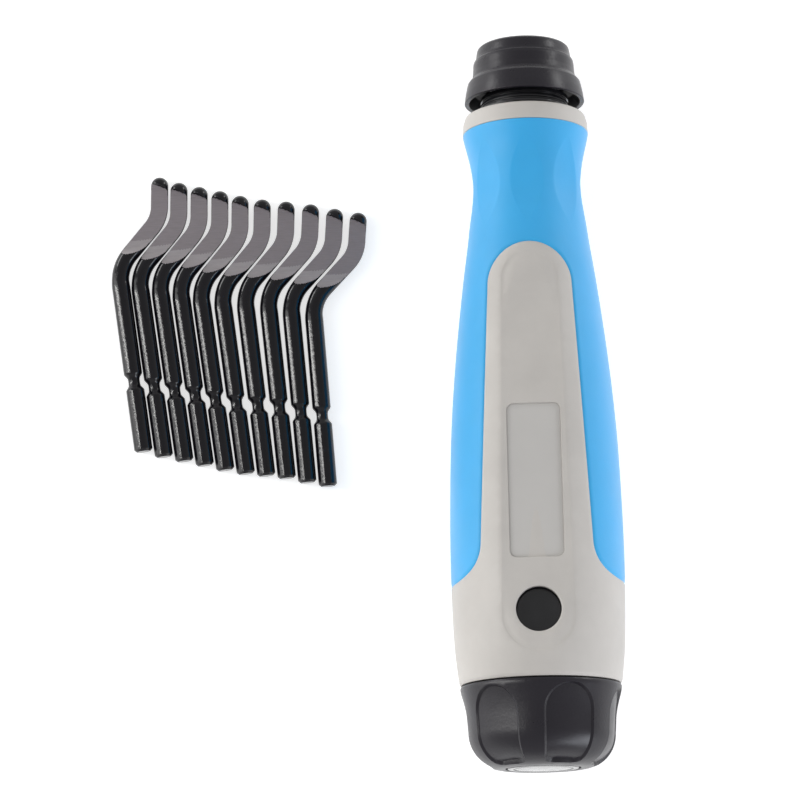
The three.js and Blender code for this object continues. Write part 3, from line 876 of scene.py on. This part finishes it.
def cap_seal(material):
    section = arc((11.3, 16.4), 0.45, 0, 360, 20)[:-1]
    shape = turned(section, 128, closed=True)
    new_piece("seal", shape, "cap", ["cap_seal"], [material])


def lock_button(material):
    outline = [
        (0.0, 8.9), (3.85, 8.9, 0.1), (3.85, 9.9, 0.1), (3.5, 9.9, 0.1), (3.5, 10.4, 0.1),
        (BUTTON_RADIUS, 10.5, 0.05), (BUTTON_RADIUS, 11.1, 0.12), (3.0, 11.1, 0.3), (1.5, 11.03, 1),
        (0.0, 11.0),
    ]
    shape = upright(turned(filleted(outline), 96), BUTTON_STATION)
    new_piece("button_face", shape, "button", ["lock_button"], [material])


def button_spring(material):
    points = [(x, BUTTON_STATION - z, y) for x, y, z in helix(2.9, 5.45, 8.45, 4, 48)]
    coil = tube(points, SPRING_WIRE)
    piece = new_piece("catch_spring", coil, "cap", ["button_spring"], [material])
    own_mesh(piece)


# ---- blades ----

SHANK_LENGTH, SHANK_CHAMFER = 29.3, 0.4
GROOVE_STATION, GROOVE_HALF, GROOVE_WAIST, GROOVE_RADIUS = 12.2, 1.55, 0.75, 1.0
HEAD_RADIUS, BEND_RADIUS, BEND_OUT, DIAGONAL, BEND_BACK, TIP_LENGTH = 1.5, 7.0, 47.0, 6.0, 38.5, 3.7
FLAT_HEIGHT, FLAT_START, RAMP_LENGTH, RAMP_CURVE = 0.45, 34.1, 1.6, 2.0
BAND_END, BAND_SLOPE = 36.7, 0.07
TIP_SLANT, TIP_START, TIP_SLOPE = (0.485, 0.874), 43.8, 1.7
BLADE_SIDES = 56


def blade_path(run):
    """(x, y, heading) on the blade's centreline at a length from the shank's end."""
    x, y, heading = 0.0, 0.0, 0.0
    bends = [
        (SHANK_LENGTH, 0.0), (BEND_RADIUS * BEND_OUT * DEG, BEND_OUT * DEG), (DIAGONAL, 0.0),
        ((BEND_RADIUS - 1) * BEND_BACK * DEG, -BEND_BACK * DEG), (99.0, 0.0),
    ]
    for length, turn in bends:
        part = min(run, length)
        bend = turn * part / length
        if abs(bend) < 1e-9:
            x, y = x + part * math.sin(heading), y + part * math.cos(heading)
        else:
            radius = part / bend
            x += radius * (math.cos(heading) - math.cos(heading + bend))
            y += radius * (math.sin(heading + bend) - math.sin(heading))
        heading += bend
        run -= part
        if run <= 0:
            break
    return x, y, heading


HEAD_END = (SHANK_LENGTH + BEND_RADIUS * BEND_OUT * DEG + DIAGONAL
            + (BEND_RADIUS - 1) * BEND_BACK * DEG + TIP_LENGTH)


def blade_radius(run):
    """The rod's radius at a length along it: chamfer, groove, head and round tip."""
    if run < SHANK_CHAMFER:
        return SHANK_SKIN - SHANK_CHAMFER + run
    if run > HEAD_END:
        return math.sqrt(max(0.0, HEAD_RADIUS ** 2 - (run - HEAD_END) ** 2))
    radius = lerp(SHANK_SKIN, HEAD_RADIUS, smooth(SHANK_LENGTH - 0.5, SHANK_LENGTH + 1.5, run))
    off = abs(run - GROOVE_STATION)
    waist = GROOVE_RADIUS + 0.06 * min(1.0, off / GROOVE_WAIST) ** 2
    cone = (off - GROOVE_WAIST) / (GROOVE_HALF - GROOVE_WAIST)
    return min(radius, lerp(waist, radius, smooth(-0.25, 1.0, cone)))


def blade_stations():
    """Lengths along the blade where its cross-sections lie, closer where detail is."""
    marks = [(0.0, 0.1), (0.6, 0.8), (10.5, 0.08), (13.9, 0.8), (28.0, 0.3), (32.9, 0.09), (38.0, 0.35),
             (HEAD_END - 2.8, 0.08), (HEAD_END + HEAD_RADIUS, 1.0)]
    found = []
    for (low, step), (high, _) in zip(marks, marks[1:]):
        count = max(1, round((high - low) / step))
        found += [lerp(low, high, i / count) for i in range(count)]
    return found + [HEAD_END + HEAD_RADIUS]


def past_flat(x, y):
    """How far a plan point lies beyond the flat's front end."""
    return TIP_SLANT[0] * x + TIP_SLANT[1] * y - TIP_START


def ground_top(x, y):
    """The height that grinding leaves over a plan point: a ramp, the flat, and a steep end."""
    ramp = 1 - (y - FLAT_START) / RAMP_LENGTH
    if ramp > 1:
        return 2 * SHANK_RADIUS
    top = FLAT_HEIGHT + (SHANK_RADIUS - FLAT_HEIGHT) * max(0.0, ramp) ** RAMP_CURVE
    top += BAND_SLOPE * max(0.0, BAND_END - y)
    ahead = past_flat(x, y)
    return top + 0.045 * max(0.0, ahead + 1.8) + TIP_SLOPE * max(0.0, ahead)


def blade_shape():
    vertices, faces, looks, ground = [], [], [], []
    stations = blade_stations()
    for run in stations:
        x, y, heading = blade_path(run)
        radius = blade_radius(run)
        for k in range(BLADE_SIDES):
            angle = 2 * math.pi * k / BLADE_SIDES
            across, height = radius * math.sin(angle), radius * math.cos(angle)
            px, py = x + across * math.cos(heading), y - across * math.sin(heading)
            top = ground_top(px, py)
            ground.append(height > top and past_flat(px, py) < 0.25)
            vertices.append((px, py, min(height, top)))
    for row in range(len(stations) - 1):
        for k in range(BLADE_SIDES):
            j = (k + 1) % BLADE_SIDES
            a, b = row * BLADE_SIDES, (row + 1) * BLADE_SIDES
            corners = (a + k, a + j, b + j, b + k)
            # Faces of the flat's rear band, up to BAND_END, take the lighter third material: a painted
            # highlight for the light that this tilted facet catches.
            painted_lit_band = max(vertices[i][1] for i in corners) < BAND_END
            cut = sum(ground[i] for i in corners) >= 3
            looks.append((2 if painted_lit_band else 1) if cut else 0)
            faces.append(corners)
    faces.append(tuple(reversed(range(BLADE_SIDES))))
    return vertices, faces, looks + [0]


def blades(materials):
    vertices, faces, looks = blade_shape()
    for i, tilt in enumerate(BLADE_TILT):
        name = f"blade_{i + 1:02d}"
        place = Vector((CAP_END.x, CAP_END.y, 0)) / MM
        place += Vector((FIRST_BLADE_X + BLADE_PITCH * i, BLADE_END_Y[i], SHANK_RADIUS))
        matrix = Matrix.Scale(MM, 4) @ Matrix.Translation(place) @ Matrix.Rotation(-tilt * DEG, 4, "Z")
        new_piece(f"{name}_visual", (vertices, faces), name, [name], materials,
                  matrix=matrix, sharp=38, weld=0.0005, looks=looks)


# ---- materials ----


class Shading:
    """A procedural material: helpers that add nodes to one Principled surface."""

    def __init__(self, name, roughness, metallic=0.0, coat=0.0, specular=0.5):
        self.material = bpy.data.materials.new(name)
        self.material.use_nodes = True
        self.nodes = self.material.node_tree.nodes
        self.links = self.material.node_tree.links
        self.surface = self.nodes["Principled BSDF"]
        self.set("Roughness", roughness)
        self.set("Metallic", metallic)
        self.set("Coat Weight", coat)
        self.set("Specular IOR Level", specular)
        self.place = self.nodes.new("ShaderNodeTexCoord").outputs["Object"]
        self.bumped = None

    def set(self, socket, value):
        self.surface.inputs[socket].default_value = value

    def stretched(self, scale):
        mapping = self.nodes.new("ShaderNodeMapping")
        mapping.inputs["Scale"].default_value = scale
        self.links.new(self.place, mapping.inputs["Vector"])
        return mapping.outputs["Vector"]

    def noise(self, scale, detail=2.0, roughness=0.5, vector=None):
        node = self.nodes.new("ShaderNodeTexNoise")
        node.inputs["Scale"].default_value = scale
        node.inputs["Detail"].default_value = detail
        node.inputs["Roughness"].default_value = roughness
        self.links.new(vector or self.place, node.inputs["Vector"])
        return node.outputs["Fac"]

    def ramp(self, value, stops):
        node = self.nodes.new("ShaderNodeValToRGB")
        elements = node.color_ramp.elements
        while len(elements) < len(stops):
            elements.new(0.5)
        for element, (position, colour) in zip(elements, stops):
            element.position = position
            element.color = colour if len(colour) == 4 else (*colour, 1)
        self.links.new(value, node.inputs["Fac"])
        return node.outputs["Color"]

    def shades(self, value, colour, darkest, lightest):
        """A colour that varies between two factors of itself."""
        return self.ramp(value, [(0.3, tinted(colour, darkest)), (0.7, tinted(colour, lightest))])

    def greys(self, value, low, high):
        """A grey level that goes from one (position, level) to another."""
        return self.ramp(value, [(position, grey(level)) for position, level in (low, high)])

    def mix(self, share, first, second):
        node = self.nodes.new("ShaderNodeMix")
        node.data_type = "RGBA"
        for value, socket in ((first, node.inputs[6]), (second, node.inputs[7])):
            if isinstance(value, tuple):
                socket.default_value = (*value, 1)
            else:
                self.links.new(value, socket)
        self.links.new(share, node.inputs[0])
        return node.outputs[2]

    def colour(self, value):
        self.links.new(value, self.surface.inputs["Base Color"])

    def rough(self, value):
        self.links.new(value, self.surface.inputs["Roughness"])

    def bump(self, height, distance, strength=1.0):
        node = self.nodes.new("ShaderNodeBump")
        node.inputs["Distance"].default_value = distance * MM
        node.inputs["Strength"].default_value = strength
        self.links.new(height, node.inputs["Height"])
        if self.bumped:
            self.links.new(self.bumped, node.inputs["Normal"])
        self.bumped = node.outputs["Normal"]
        self.links.new(self.bumped, self.surface.inputs["Normal"])


def grey(level):
    return (level, level, level)


def tinted(colour, factor):
    return tuple(min(1.0, c * factor) for c in colour)


def moulded(name, colour, roughness, grain, depth, variation=0.05, specular=0.5):
    """Moulded plastic: a fine spark-eroded grain, faint flow marks and small scuffs."""
    look = Shading(name, roughness, specular=specular)
    cloud = look.noise(90, 4.0, 0.6)
    base = look.shades(cloud, colour, 1 - variation, 1 + variation)
    scuffs = look.noise(700, 6.0, 0.72, look.stretched((1.0, 0.35, 1.0)))
    marks = look.greys(scuffs, (0.66, 0.0), (0.74, 0.12))
    look.colour(look.mix(marks, base, tinted(colour, 1.25)))
    shine = look.noise(260, 5.0, 0.65)
    look.rough(look.greys(shine, (0.3, roughness - 0.05), (0.7, roughness + 0.06)))
    look.bump(look.noise(grain, 3.0, 0.6), depth, 0.8)
    look.bump(look.noise(160, 2.0), depth * 2, 0.25)
    return look.material


def soft_touch():
    """The overmould: satin thermoplastic rubber with a silky broad sheen."""
    colour = (0.034, 0.43, 0.85)
    look = Shading("soft_touch_blue", 0.48, specular=0.45)
    look.set("Sheen Weight", 0.35)
    look.set("Sheen Roughness", 0.5)
    look.set("Sheen Tint", (1.0, 0.86, 0.9, 1))
    look.set("Subsurface Weight", 0.08)
    look.set("Subsurface Scale", 0.001)
    look.set("Subsurface Radius", (0.3, 0.7, 1.0))
    cloud = look.noise(70, 4.0, 0.6)
    base = look.shades(cloud, colour, 0.96, 1.04)
    dust = look.greys(look.noise(1500, 5.0, 0.7), (0.7, 0.0), (0.78, 0.1))
    look.colour(look.mix(dust, base, (0.3, 0.6, 0.95)))
    look.rough(look.greys(look.noise(180, 5.0, 0.6), (0.3, 0.43), (0.7, 0.55)))
    look.bump(look.noise(5200, 3.0, 0.6), 0.012, 0.7)
    look.bump(look.noise(120, 2.0), 0.03, 0.3)
    return look.material


def gloss_black():
    look = Shading("gloss_black_moulding", 0.16, coat=0.4)
    look.set("Coat Roughness", 0.08)
    colour = (0.012, 0.012, 0.014)
    cloud = look.noise(300, 4.0)
    look.colour(look.shades(cloud, colour, 0.8, 1.3))
    look.rough(look.greys(look.noise(900, 6.0, 0.7), (0.35, 0.12), (0.75, 0.28)))
    look.bump(look.noise(420, 3.0), 0.01, 0.3)
    return look.material


def steel(name, colour, roughness):
    look = Shading(name, roughness, metallic=1.0)
    lines = look.noise(900, 4.0, 0.6, look.stretched((1.0, 6.0, 1.0)))
    look.colour(look.shades(lines, colour, 0.85, 1.05))
    look.rough(look.greys(lines, (0.3, roughness - 0.08), (0.7, roughness + 0.1)))
    look.bump(lines, 0.004, 0.5)
    return look.material


def rubber():
    look = Shading("seal_rubber", 0.6)
    cloud = look.noise(500, 4.0)
    look.colour(look.ramp(cloud, [(0.3, (0.012, 0.012, 0.013)), (0.7, (0.022, 0.021, 0.022))]))
    look.bump(look.noise(4000, 2.0), 0.01, 0.5)
    return look.material


def black_oxide():
    """Oiled black oxide over drawn wire: a wavy gloss, fine dimples and small rubbed spots."""
    look = Shading("black_oxide", 0.12, coat=0.15, specular=0.35)
    look.set("Coat Roughness", 0.06)
    colour = (0.0045, 0.004, 0.006)
    base = look.shades(look.noise(350, 5.0, 0.6), colour, 0.8, 1.3)
    rubbed = look.greys(look.noise(2600, 6.0, 0.75), (0.7, 0.0), (0.8, 0.3))
    look.colour(look.mix(rubbed, base, (0.1, 0.1, 0.11)))
    look.rough(look.greys(look.noise(1200, 5.0, 0.7), (0.3, 0.06), (0.7, 0.15)))
    look.bump(look.noise(1100, 3.0, 0.6), 0.05, 0.6)
    look.bump(look.noise(5200, 3.0, 0.6), 0.008, 0.6)
    return look.material


def ground_steel(name, colour):
    """The head's ground flat: a dull warm grey with a fine cross grain."""
    look = Shading(name, 0.36, metallic=0.15)
    lines = look.noise(420, 5.0, 0.7, look.stretched((1.0, 14.0, 1.0)))
    base = look.shades(lines, colour, 0.9, 1.1)
    stain = look.greys(look.noise(230, 4.0, 0.6), (0.62, 0.0), (0.8, 0.3))
    look.colour(look.mix(stain, base, (0.3, 0.27, 0.25)))
    look.rough(look.greys(lines, (0.3, 0.38), (0.7, 0.5)))
    look.bump(lines, 0.003, 0.5)
    return look.material


# ---- stage ----


def floor():
    half = 3.0
    corners = [(-half, -half, 0), (half, -half, 0), (half, half, 0), (-half, half, 0)]
    mesh = bpy.data.meshes.new("floor")
    mesh.from_pydata(corners, [], [(0, 1, 2, 3)])
    look = Shading("paper_floor", 0.7, specular=0.2)
    look.colour(look.greys(look.noise(30, 3.0), (0.3, 0.66), (0.7, 0.68)))
    look.set("Emission Color", (1, 1, 1, 1))
    look.set("Emission Strength", 0.68)
    mesh.materials.append(look.material)
    plane = bpy.data.objects.new("floor", mesh)
    bpy.context.scene.collection.objects.link(plane)


def softbox(name, centre, target, size, power, colour):
    data = bpy.data.lights.new(name, "AREA")
    data.shape = "RECTANGLE"
    data.size, data.size_y = size
    data.energy = power
    data.color = colour
    light = bpy.data.objects.new(name, data)
    light.location = centre
    light.rotation_euler = (Vector(target) - Vector(centre)).to_track_quat("-Z", "Y").to_euler()
    bpy.context.scene.collection.objects.link(light)


def studio():
    middle = (0, 0, 0.01)
    softbox("left_strip", (-0.67, 0.08, 0.45), middle, (0.03, 0.8), 1.5, (1.0, 0.99, 0.97))
    softbox("left_fill", (-0.75, 0.1, 0.33), middle, (0.3, 0.8), 1.6, (1.0, 1.0, 1.0))
    softbox("right_window", (0.62, -0.5, 0.3), middle, (0.5, 0.3), 2.6, (0.88, 0.92, 1.0))
    for side in (-1, 1):
        place = (0.75 * side, 0.5, 0.22)
        softbox(f"back_{side + 2}", place, middle, (0.25, 0.25), 1.1, (1.0, 1.0, 1.0))
    world = bpy.data.worlds.new("studio")
    world.use_nodes = True
    nodes, links = world.node_tree.nodes, world.node_tree.links
    direction = nodes.new("ShaderNodeTexCoord")
    parts = nodes.new("ShaderNodeSeparateXYZ")
    tent = nodes.new("ShaderNodeValToRGB")
    links.new(direction.outputs["Generated"], parts.inputs[0])
    links.new(parts.outputs["Z"], tent.inputs["Fac"])
    for element, (position, level) in zip(tent.color_ramp.elements, ((0.3, 0.62), (0.95, 0.39))):
        element.position = position
        element.color = (level, level, level, 1)
    links.new(tent.outputs["Color"], nodes["Background"].inputs["Color"])
    bpy.context.scene.world = world
    bpy.context.scene.view_settings.view_transform = "Standard"


def camera():
    """The main view: from almost straight above, a little behind the end cap."""
    distance, tilt, roll = 551.7, 8.45, -1.11
    look_at = Vector((CAP_END.x, CAP_END.y, 0)) + Vector((-22.29, 64.25, 0)) * MM
    turn = Matrix.Rotation(roll * DEG, 3, "Z")
    back = turn @ Vector((0, -math.sin(tilt * DEG), math.cos(tilt * DEG)))
    upward = turn @ Vector((0, math.cos(tilt * DEG), math.sin(tilt * DEG)))
    right = upward.cross(back)
    data = bpy.data.cameras.new("camera")
    data.sensor_width = 36
    data.lens = 144
    data.clip_start, data.clip_end = 0.01, 20
    found = bpy.data.objects.new("camera", data)
    turned_axes = Matrix((right, upward, back)).transposed().to_4x4()
    found.matrix_world = Matrix.Translation(look_at + back * distance * MM) @ turned_axes
    bpy.context.scene.collection.objects.link(found)
    bpy.context.scene.camera = found


# ---- the whole scene ----

camera()
studio()
floor()

grey_plastic = moulded("grey_moulding", (0.565, 0.54, 0.51), 0.5, 3600, 0.014)
black_plastic = moulded("black_moulding", (0.0155, 0.0135, 0.019), 0.31, 2200, 0.03, 0.12, 0.42)
label_grey = moulded("label_moulding", (0.56, 0.545, 0.525), 0.5, 5200, 0.006, 0.02)
gloss = gloss_black()
bright_steel = steel("bright_steel", (0.62, 0.63, 0.65), 0.25)

body_shell(grey_plastic)
soft_grip(soft_touch())
label_plate(label_grey)
chuck_core(gloss)
release_sleeve(black_plastic)
retaining_ring(bright_steel)
sleeve_spring(bright_steel)
lock_balls(bright_steel)
storage_cap(black_plastic)
end_disc(gloss)
cap_seal(rubber())
lock_button(gloss)
button_spring(bright_steel)
blades([
    black_oxide(), ground_steel("ground_flat", (0.245, 0.219, 0.232)),
    # A lighter copy of the ground flat's steel: a painted highlight on the tilted band at the flat's
    # rear.
    ground_steel("ground_flat_painted_highlight", (0.34, 0.315, 0.325)),
])
